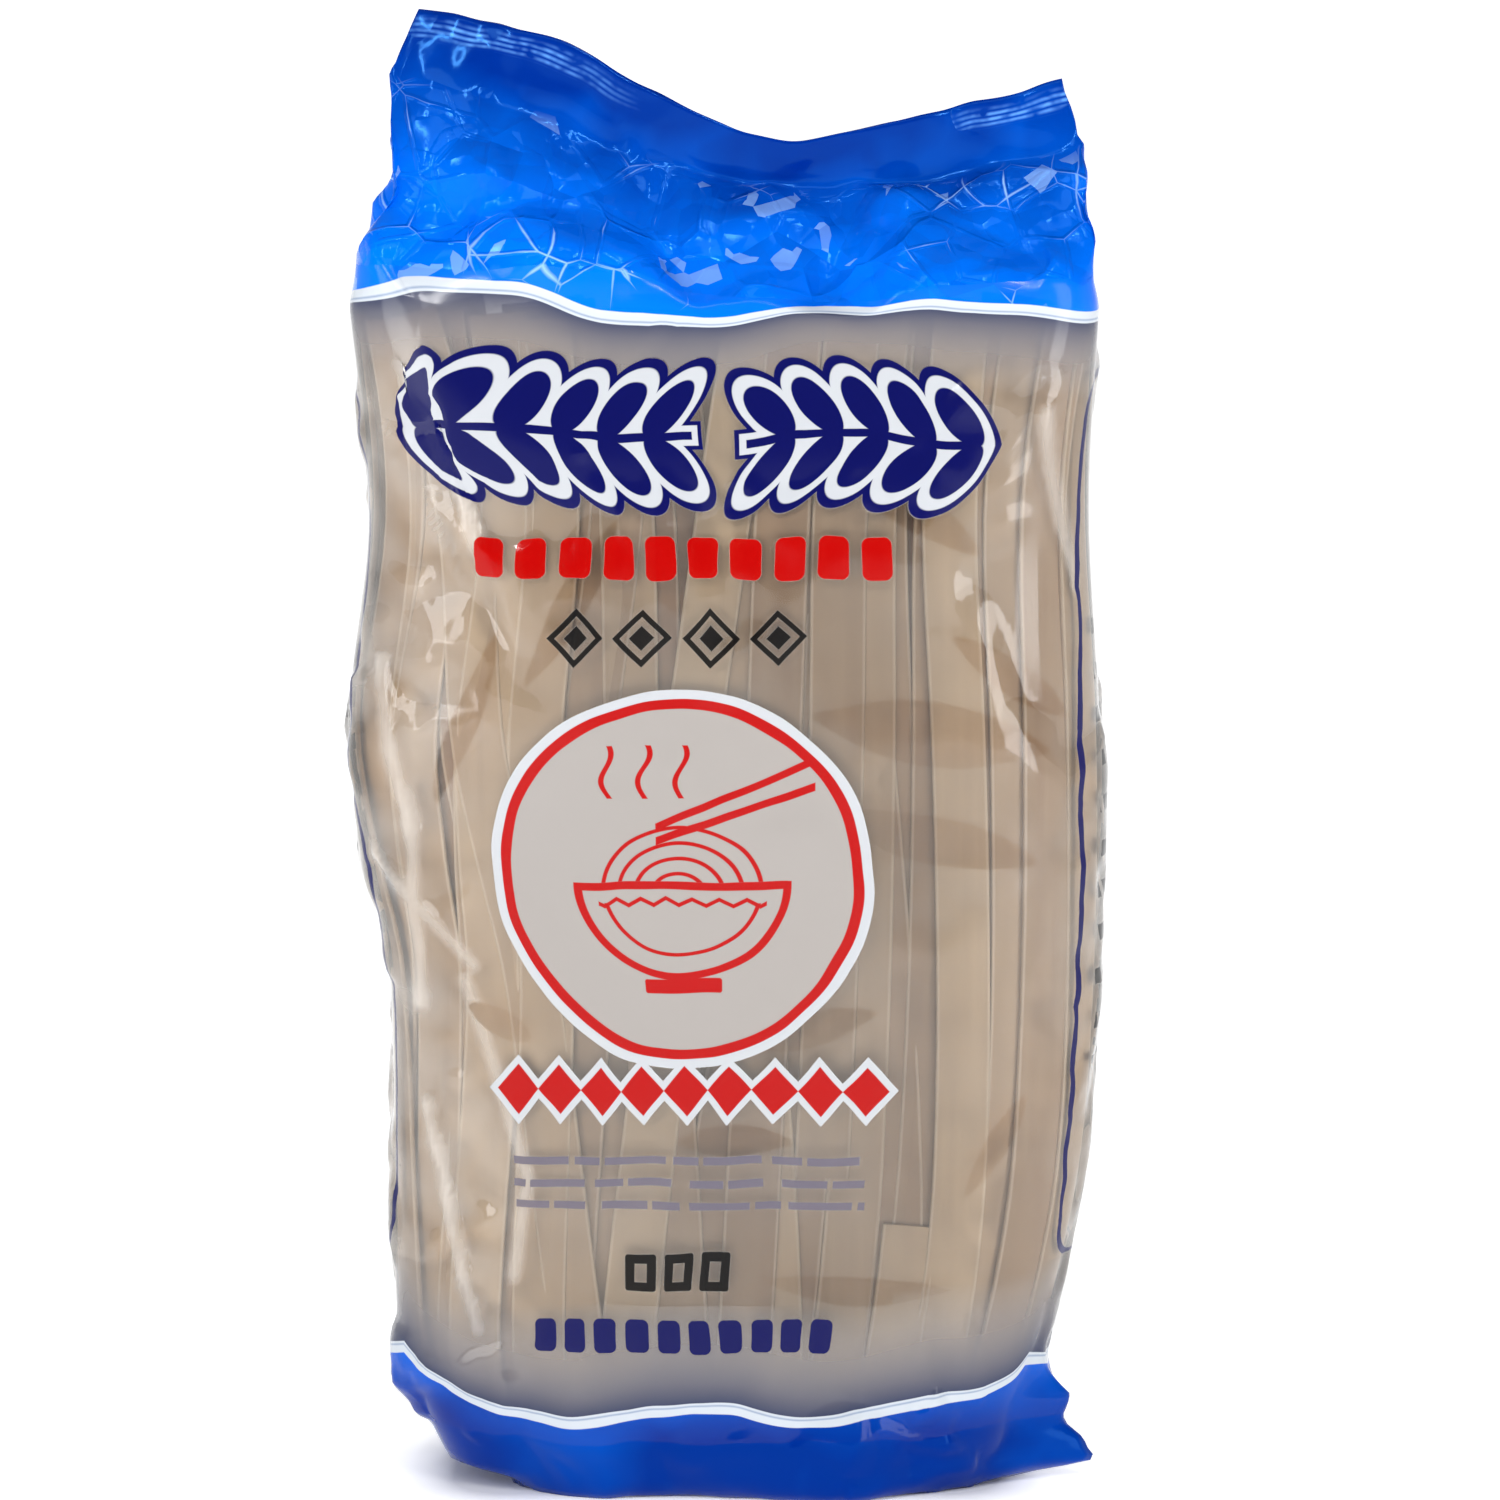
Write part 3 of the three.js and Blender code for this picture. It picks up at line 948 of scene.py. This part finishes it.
def blueMaterial(name, isTop):
    # opaque, as far as can be seen
    material, tree = newMaterial(name)
    solid = addNode(tree, "ShaderNodeBsdfPrincipled", {
        "Roughness": 0.1, "IOR": 1.45, "Specular IOR Level": 0.4 if isTop else 0.25,
        "Specular Tint": (0.1, 0.45, 1.0, 1.0),
    })
    paint = bluePaint(tree)
    if isTop:
        x, z = filmPlace(tree)
        paint, creases = creasedBlue(tree, z)
        # painted highlight: pale flecks along the crimp's ribs near the seal's edge
        crimp = edgeOf(abs(z - 259) - 1.4, 1.0) * ((abs(x - form["dipX"]) - 26) / 16).held()
        ribs = (z * 7.0).sine() * 0.5 + 0.5
        grain = addNode(tree, "ShaderNodeTexNoise", {
            "Vector": addNode(tree, "ShaderNodeTexCoord").outputs["Object"], "Scale": 420.0, "Detail": 1.0,
        })
        paint = mixColour(tree, crimp * ribs * (Field(tree, grain.outputs[0]) * 3 - 1).held() * 0.9, paint, inks["paintedSheen"])
        bump = addNode(tree, "ShaderNodeBump", {"Height": creases, "Strength": 1.0, "Distance": 0.001})
        tree.links.new(bump.outputs[0], solid.inputs["Normal"])
    tree.links.new(paint, solid.inputs["Base Color"])
    addNode(tree, "ShaderNodeOutputMaterial", {0: solid.outputs[0]})
    return material


def fineCreases(tree, z):
    # height in mm, painted highlights and painted shade: flat facets as the mesh has, but sharper, with a thin round
    # ridge along some creases; the pale lines and spots are painted highlights, and the darker cells are painted
    # shade
    place = addNode(tree, "ShaderNodeTexCoord").outputs["Object"]
    noisy = addNode(tree, "ShaderNodeTexNoise", {"Vector": place, "Scale": 42.0, "Detail": 3.0})
    place = addNode(tree, "ShaderNodeVectorMath", {
        0: noisy.outputs["Color"], 1: (0.003, 0.003, 0.003), 2: place,
    }, operation="MULTIPLY_ADD").outputs[0]
    depth = 0
    ridge = None
    paintedSpots = paintedShades = 0
    for scale, slope, ridged in ((75.0, 0.16, True), (170.0, 0.09, False)):
        halves = []
        for offset in ((0.0, 0.0, 0.0), (7.3, 2.1, 5.4)):
            moved = addNode(tree, "ShaderNodeVectorMath", {0: place, 1: offset}, operation="ADD")
            cells = addNode(tree, "ShaderNodeTexVoronoi", {"Vector": moved.outputs[0], "Scale": scale})
            distance = Field(tree, cells.outputs["Distance"])
            halves.append(distance * distance)
            tone = Field(tree, addNode(tree, "ShaderNodeSeparateColor", {0: cells.outputs["Color"]}).outputs[0])
            if ridged:
                # painted shade: some cells darker
                paintedShades = ((0.42 - tone) * 30).held() + paintedShades
            else:
                paintedSpots = ((tone - 0.8) * 30).held() + paintedSpots
            if ridged:
                edges = addNode(tree, "ShaderNodeTexVoronoi", {
                    "Vector": moved.outputs[0], "Scale": scale,
                }, feature="DISTANCE_TO_EDGE")
                away = Field(tree, edges.outputs["Distance"])
                ridge = away if ridge is None else ridge.lowest(away)
        depth = (halves[0] - halves[1]) * (slope * 1000 / scale) + depth
    ridge = ridge / (0.00055 * 75.0)
    patch = Field(tree, noisy.outputs["Fac"])
    crest = (1 - ridge * ridge).held() * ((patch - 0.42) * 6).held()
    line = (((patch - 0.53) * 9).held() - ridge * 2.2).held()
    busy = ((z - 217) / 4).held() * (1 - ((z - 247) / 4).held())
    # painted highlights: broken pale lines along the creases, and a few pale facets
    paintedGlints = (line * 0.75).highest((paintedSpots - 1).held() * 0.35) * busy
    return (depth + crest * 0.24) * busy, paintedGlints, paintedShades * busy * 0.13


def filmMaterials():
    made = []
    for name, (_, _, printed, end) in zones.items():
        isBlue = name.startswith("blue")
        made.append(blueMaterial(name, name == "blue seal") if isBlue else clearMaterial(name, printed, end))
    return made


noodles = {
    "width": 10.0,
    "thickness": 1.0,
    "camber": 0.25,
    "pitch": 10.9,
    "layers": [               # inset from the film's outline, lean in mm at the ends, share left out, tone (lower for deeper layers, as painted shade)
        (2.2, 15, 0.5, 0.72), (3.4, 24, 0.35, 0.5), (4.6, 26, 0.2, 0.32), (5.9, 5, 0.0, 0.12),
    ],
    "toneSpread": 0.24,
    "calmSide": 30,           # right of this x the noodles stand nearly upright
    "cutShort": 0.05,         # share of them that end early
    "ends": ((7, 13), (213.5, 216)),
    "shown": [                # those that the photo shows best: x at the foot and at the top, ends, tone
        (36.5, 35, 8, 51, 0.95), (-40, -31, 9, 215, 0.8), (-24, 4, 8, 216, 1.0), (-7, -22, 10, 112, 0.5),
        (3, 12, 8, 215, 0.4), (-28, -54, 8, 216, 0.75), (13, -5, 9, 120, 0.95), (24, 27, 8, 216, 0.7),
        (46, 40, 9, 215, 0.95), (-54, -38, 10, 216, 0.9), (17, 22, 60, 215, 0.6), (55, 52, 8, 216, 0.68),
    ],
    "step": 6.0,
    "seed": 11,
}


def layerStrips(layer):
    # where each noodle of a layer lies: how far round the pack, and how much farther at its top
    draw = random.Random(noodles["seed"] + layer)
    _, lean, missing, lit = noodles["layers"][layer]
    count = int(girth / noodles["pitch"])
    front = 0.75 * girth
    strips = []
    for i in range(count):
        arc = (i + draw.uniform(-0.12, 0.12)) * girth / count + layer * 3.7
        turn = arc / girth * 2 * math.pi
        sway = noise.noise(Vector((math.cos(turn), math.sin(turn), layer * 5)) * 2.2)
        calm = 0.25 if noodles["calmSide"] < (arc - front) % girth < 110 else 1
        low, high = (draw.uniform(*limits) for limits in noodles["ends"])
        if draw.random() < noodles["cutShort"]:
            low = draw.uniform(42, 75)
        strips.append({
            "arc": arc, "shift": lean * calm * (sway * 1.6 + draw.uniform(-0.45, 0.45)),
            "bow": draw.uniform(-1.5, 1.5), "low": low, "high": high,
            "tone": lit + draw.uniform(-1, 1) * noodles["toneSpread"],
            "wide": draw.uniform(0.94, 1.1), "rise": draw.uniform(-0.25, 0.25),
        })
    strips = [strip for strip in strips if draw.random() >= missing]
    if layer == 0:
        strips = [strip for strip in strips if abs((strip["arc"] - front + girth / 2) % girth - girth / 2) > 58]
        for i, (foot, top, low, high, shade) in enumerate(noodles["shown"]):
            strips.append({
                "arc": front + (foot + top) / 2, "shift": (top - foot) / 2, "bow": 0.6 * (i % 3 - 1), "low": low,
                "high": high, "tone": shade, "wide": 1 + 0.04 * (i % 3 - 1), "rise": 0.35 - 0.35 * (i % 4),
            })
    return strips


def noodleGuides():
    # one line of edges down the middle of each noodle, with the way that it faces
    fine = 720
    sections = bothSections(fine)
    heights = np.arange(0, form["shoulder"] + noodles["step"], noodles["step"])
    points, edges, outward, tone, breadth = [], [], [], [], []
    for layer, (inset, *_) in enumerate(noodles["layers"]):
        rings = np.array([np.stack(bodyRing(sections, min(z, form["shoulder"]), inset), 1) for z in heights])
        around = np.roll(rings, -1, 1) - np.roll(rings, 1, 1)
        facing = np.stack([around[:, :, 1], -around[:, :, 0]], 2)
        facing /= np.linalg.norm(facing, axis=2, keepdims=True)
        for strip in layerStrips(layer):
            samples = max(2, int((strip["high"] - strip["low"]) / noodles["step"]))
            for k in range(samples + 1):
                z = strip["low"] + (strip["high"] - strip["low"]) * k / samples
                t = (z - 110) / 105
                at = (strip["arc"] + strip["shift"] * t + strip["bow"] * t * t) / girth % 1 * fine
                row, column = z / noodles["step"], int(at)
                r0, rf = int(row), row - int(row)
                cf = at - column
                place, face = np.zeros(2), np.zeros(2)
                corners = ((0, 0, (1 - rf) * (1 - cf)), (1, 0, rf * (1 - cf)), (0, 1, (1 - rf) * cf), (1, 1, rf * cf))
                for dr, dc, share in corners:
                    place += rings[r0 + dr, (column + dc) % fine] * share
                    face += facing[r0 + dr, (column + dc) % fine] * share
                place += face * (strip["rise"] + 0.2 * noise.noise(Vector((strip["arc"], z * 0.03, layer))))
                twist = 0.1 * noise.noise(Vector((strip["arc"] * 3, z * 0.012, layer + 9)))
                c, s = math.cos(twist), math.sin(twist)
                if k:
                    edges.append((len(points) - 1, len(points)))
                points.append((place[0] * mm, place[1] * mm, z * mm))
                outward.append((face[0] * c - face[1] * s, face[0] * s + face[1] * c, 0))
                tone.append(strip["tone"])
                breadth.append(strip["wide"])
    mesh = bpy.data.meshes.new("noodleGuides")
    mesh.from_pydata(points, edges, [])
    mesh.attributes.new("outward", "FLOAT_VECTOR", "POINT").data.foreach_set("vector", np.ravel(outward))
    mesh.attributes.new("tone", "FLOAT", "POINT").data.foreach_set("value", tone)
    mesh.attributes.new("breadth", "FLOAT", "POINT").data.foreach_set("value", breadth)
    return mesh


def noodleTree():
    # each guide becomes a flat strip with soft edges, a little hollow across
    tree = bpy.data.node_groups.new("noodleStrips", "GeometryNodeTree")
    tree.interface.new_socket("Geometry", in_out="INPUT", socket_type="NodeSocketGeometry")
    for name in ("Width", "Thickness", "Camber"):
        tree.interface.new_socket(name, in_out="INPUT", socket_type="NodeSocketFloat")
    tree.interface.new_socket("Material", in_out="INPUT", socket_type="NodeSocketMaterial")
    tree.interface.new_socket("Geometry", in_out="OUTPUT", socket_type="NodeSocketGeometry")
    given = addNode(tree, "NodeGroupInput").outputs
    width, thickness, camber = (Field(tree, given[name]) for name in ("Width", "Thickness", "Camber"))

    circle = addNode(tree, "GeometryNodeCurvePrimitiveCircle", {"Resolution": 20, "Radius": 1.0})
    at = addNode(tree, "ShaderNodeSeparateXYZ", {0: addNode(tree, "GeometryNodeInputPosition").outputs[0]})

    def squared(value):
        return value.math("SIGN", value) * abs(value) ** 0.3

    across, through = squared(Field(tree, at.outputs[0])), squared(Field(tree, at.outputs[1]))
    kept = addNode(tree, "GeometryNodeStoreNamedAttribute", {
        "Geometry": circle.outputs[0], "Name": "across", "Value": across,
    }, data_type="FLOAT", domain="POINT")
    hollow = camber * (across * across - 0.4)
    corner = addNode(tree, "ShaderNodeCombineXYZ", {0: through * thickness * 0.5 + hollow, 1: across * width * 0.5})
    profile = addNode(tree, "GeometryNodeSetPosition", {"Geometry": kept.outputs[0], "Position": corner.outputs[0]})

    lines = addNode(tree, "GeometryNodeMeshToCurve", {0: given["Geometry"]})
    facing = addNode(tree, "GeometryNodeInputNamedAttribute", {"Name": "outward"}, data_type="FLOAT_VECTOR")
    turned = addNode(tree, "GeometryNodeSetCurveNormal", {
        "Curve": lines.outputs[0], "Normal": facing.outputs[0],
    }, mode="FREE")
    breadth = addNode(tree, "GeometryNodeInputNamedAttribute", {"Name": "breadth"}, data_type="FLOAT")
    sized = addNode(tree, "GeometryNodeSetCurveRadius", {"Curve": turned.outputs[0], "Radius": breadth.outputs[0]})
    strips = addNode(tree, "GeometryNodeCurveToMesh", {
        "Curve": sized.outputs[0], "Profile Curve": profile.outputs[0], "Fill Caps": True,
    })
    real = addNode(tree, "GeometryNodeRealizeInstances", {0: strips.outputs[0]})
    done = addNode(tree, "GeometryNodeSetMaterial", {"Geometry": real.outputs[0], "Material": given["Material"]})
    addNode(tree, "NodeGroupOutput", {0: done.outputs[0]})
    return tree


def grownMesh(name, source, tree, **values):
    # runs a node tree on a mesh and keeps the result as a plain mesh
    host = newObject(name + "Guide", source)
    modifier = host.modifiers.new("grow", "NODES")
    modifier.node_group = tree
    for item in tree.interface.items_tree:
        if item.name in values and item.in_out == "INPUT":
            modifier[item.identifier] = values[item.name]
    evaluated = host.evaluated_get(bpy.context.evaluated_depsgraph_get())
    mesh = bpy.data.meshes.new_from_object(evaluated)
    host.modifiers.remove(modifier)
    bpy.data.objects.remove(host)
    mesh.name = name
    return mesh


def noodleMaterial():
    material, tree = newMaterial("dry rice noodle")
    tone = addNode(tree, "ShaderNodeAttribute", attribute_name="tone").outputs["Fac"]
    across = Field(tree, addNode(tree, "ShaderNodeAttribute", attribute_name="across").outputs["Fac"])
    place = addNode(tree, "ShaderNodeTexCoord").outputs["Object"]
    drawn = addNode(tree, "ShaderNodeMapping", {"Vector": place, "Scale": (400, 400, 16)})
    streak = addNode(tree, "ShaderNodeTexNoise", {"Vector": drawn.outputs[0], "Scale": 1.0, "Detail": 2.0})
    cloud = addNode(tree, "ShaderNodeTexNoise", {"Vector": place, "Scale": 45.0, "Detail": 2.0})
    streaks, clouds = Field(tree, streak.outputs[0]), Field(tree, cloud.outputs[0])
    # the layer tone paints deeper noodles darker as painted shade; the spread, streaks and clouds are the noodles'
    # own tone
    share = (Field(tree, tone) * 0.9 + streaks * 0.3 + clouds * 0.3 - 0.25).held()
    paint = mixColour(tree, share, colour(140, 95, 58), colour(220, 191, 152))
    # painted highlight: paler colour along each noodle's edges
    edge = ((abs(across) - 0.86) * 14).held()
    paint = mixColour(tree, edge * 0.55, paint, colour(240, 222, 196))
    body = addNode(tree, "ShaderNodeBsdfPrincipled", {"Base Color": paint, "Roughness": 0.45, "IOR": 1.45})
    addNode(tree, "ShaderNodeOutputMaterial", {0: body.outputs[0]})
    return material


core = {"inset": 7.0, "top": 202, "columns": 200, "step": 4.0, "ribPitch": 5.4, "ribDepth": 0.5}


def coreMesh():
    # the noodles too deep to see, as one ribbed body
    rings = fillCore(core["inset"], core["top"], core["columns"], core["step"])
    rings[:, :, 2] += 6
    ribs = round(girth / core["ribPitch"])
    turn = np.arange(core["columns"]) / core["columns"] * 2 * np.pi
    lean = rings[:, :, 2] * 0.004
    swell = core["ribDepth"] * np.sin(turn[None, :] * ribs + lean)
    rings += gridNormals(rings) * swell[:, :, None]
    return ringMesh("core", rings * mm)


def coreMaterial():
    material, tree = newMaterial("deep noodles")
    place = addNode(tree, "ShaderNodeTexCoord").outputs["Object"]
    drawn = addNode(tree, "ShaderNodeMapping", {"Vector": place, "Scale": (260, 260, 8)})
    streak = addNode(tree, "ShaderNodeTexNoise", {"Vector": drawn.outputs[0], "Scale": 1.0, "Detail": 4.0})
    share = ((Field(tree, streak.outputs[0]) - 0.35) * 3).held()
    # darker brown than the noodles, as painted shade of the deep noodles
    paint = mixColour(tree, share, colour(118, 90, 64), colour(176, 148, 120))
    bump = addNode(tree, "ShaderNodeBump", {"Height": streak.outputs[0], "Strength": 0.6, "Distance": 0.001})
    body = addNode(tree, "ShaderNodeBsdfPrincipled", {
        "Base Color": paint, "Roughness": 0.55, "Normal": bump.outputs[0],
    })
    addNode(tree, "ShaderNodeOutputMaterial", {0: body.outputs[0]})
    return material


studio = {
    "aim": (0.0044, 0.0, 0.1343),
    "distance": 1.3,
    "pitch": 9,              # degrees down
    "frameHeight": 0.273,    # what the picture is high at the pack
    "lights": [              # azimuth and elevation in degrees, distance, width, height, brightness
        (-38, 16, 1.2, 0.36, 0.8, 4.7),
        (46, 12, 1.2, 0.30, 0.8, 4.7),
        (4, 58, 1.1, 0.70, 0.25, 2.5),
        (-20, 38, 1.0, 0.03, 0.5, 40),
        (22, 42, 1.0, 0.03, 0.5, 40),
        (165, 30, 1.3, 0.5, 0.6, 3),
    ],
    "sky": (0.14, 1.0),            # overhead and in front, and at the horizon behind the pack
    "floorGlow": (0.6, 0.95),      # near the pack and far from it
}


def aimed(thing, place, target):
    thing.location = place
    thing.rotation_euler = (Vector(target) - Vector(place)).to_track_quat("-Z", "Y").to_euler()


def around(azimuth, elevation, distance, centre):
    # azimuth 0 is in front of the pack, and grows towards its right-hand side
    a, e = math.radians(azimuth), math.radians(elevation)
    step = Vector((math.sin(a) * math.cos(e), -math.cos(a) * math.cos(e), math.sin(e)))
    return Vector(centre) + step * distance


def setStudio():
    lens = bpy.data.cameras.new("camera")
    camera = bpy.data.objects.new("camera", lens)
    scene.collection.objects.link(camera)
    lens.sensor_width = 36
    lens.lens = 36 * studio["distance"] / studio["frameHeight"]
    aimed(camera, around(0, studio["pitch"], studio["distance"], studio["aim"]), studio["aim"])
    scene.camera = camera
    for azimuth, elevation, distance, width, height, brightness in studio["lights"]:
        lamp = bpy.data.lights.new("softbox", "AREA")
        lamp.shape = "RECTANGLE"
        lamp.size, lamp.size_y = width, height
        lamp.energy = brightness * math.pi * width * height
        box = bpy.data.objects.new("softbox", lamp)
        scene.collection.objects.link(box)
        aimed(box, around(azimuth, elevation, distance, studio["aim"]), studio["aim"])
    world = bpy.data.worlds.new("studio")
    world.use_nodes = True
    tree = world.node_tree
    way = addNode(tree, "ShaderNodeSeparateXYZ", {0: addNode(tree, "ShaderNodeTexCoord").outputs["Generated"]})
    dim, bright = studio["sky"]
    behind = (Field(tree, way.outputs[1]) * 2 + 1.3).held()
    low = (1.7 - abs(Field(tree, way.outputs[2])) * 4).held()
    strength = behind * low * (bright - dim) + dim
    tree.links.new(strength.socket, tree.nodes["Background"].inputs["Strength"])
    tree.nodes["Background"].inputs["Color"].default_value = (0.97, 0.985, 1.0, 1.0)
    scene.world = world
    scene.view_settings.view_transform = "Standard"
    # clear film over clear film needs few real bounces
    scene.cycles.max_bounces = 5
    scene.cycles.diffuse_bounces = 2
    scene.cycles.glossy_bounces = 1
    scene.cycles.transparent_max_bounces = 6


def floorMaterial():
    # white, and far from the pack as bright as a lit backdrop, with a painted contact shadow right beside its foot
    material, tree = newMaterial("pale floor")
    place = addNode(tree, "ShaderNodeSeparateXYZ", {0: addNode(tree, "ShaderNodeTexCoord").outputs["Object"]})
    x, y = Field(tree, place.outputs[0]), Field(tree, place.outputs[1])
    near, far = studio["floorGlow"]
    # painted contact shadow: the glow drops right beside the foot
    paintedContactShadow = (1 - boxDistance(x, y, 0.05, 0.019, 0.01) / 0.014).held()
    glow = (((lengthOf(x, y) - 0.08) * 5).held() * (far - near) + near) * (1 - paintedContactShadow * paintedContactShadow * 0.95)
    body = addNode(tree, "ShaderNodeBsdfPrincipled", {
        "Base Color": (0.93, 0.93, 0.93, 1), "Roughness": 0.7, "Emission Color": (1, 1, 1, 1),
        "Emission Strength": glow,
    })
    addNode(tree, "ShaderNodeOutputMaterial", {0: body.outputs[0]})
    return material


print("film")
rings, places = packRings(film["columns"], film["step"])
rings = settleFilm(rings, places)
rings = pullCorners(smoothed(rings, places))
fineRows = np.arange(2 * len(places) - 1) / 2
places = np.interp(fineRows, np.arange(len(places)), places)
rings = refined(refined(rings, False).transpose(1, 0, 2), True).transpose(1, 0, 2)
rings = creased(rings, places)
filmSkin = ringMesh("film", rings * mm, places)
drawFilmFields(filmSkin, rings, places)
filmSkin.polygons.foreach_set("material_index", zoneOfFaces(filmSkin))
filmPiece = newObject("film", filmSkin, *filmMaterials())

print("noodles")
strips = grownMesh(
    "noodles", noodleGuides(), noodleTree(), Width=noodles["width"] * mm, Thickness=noodles["thickness"] * mm,
    Camber=noodles["camber"] * mm, Material=noodleMaterial(),
)
strips.polygons.foreach_set("use_smooth", [True] * len(strips.polygons))
noodlePiece = newObject("noodles", strips)
corePiece = newObject("core", coreMesh(), coreMaterial())

for piece, slot in ((filmPiece, "clear_film"), (noodlePiece, "noodle"), (corePiece, "noodle")):
    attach(piece, "root")
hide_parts(packNode)

print("studio")
bpy.ops.mesh.primitive_plane_add(size=20)
ground = bpy.context.object
ground.name = "floor"
ground.data.materials.append(floorMaterial())
setStudio()
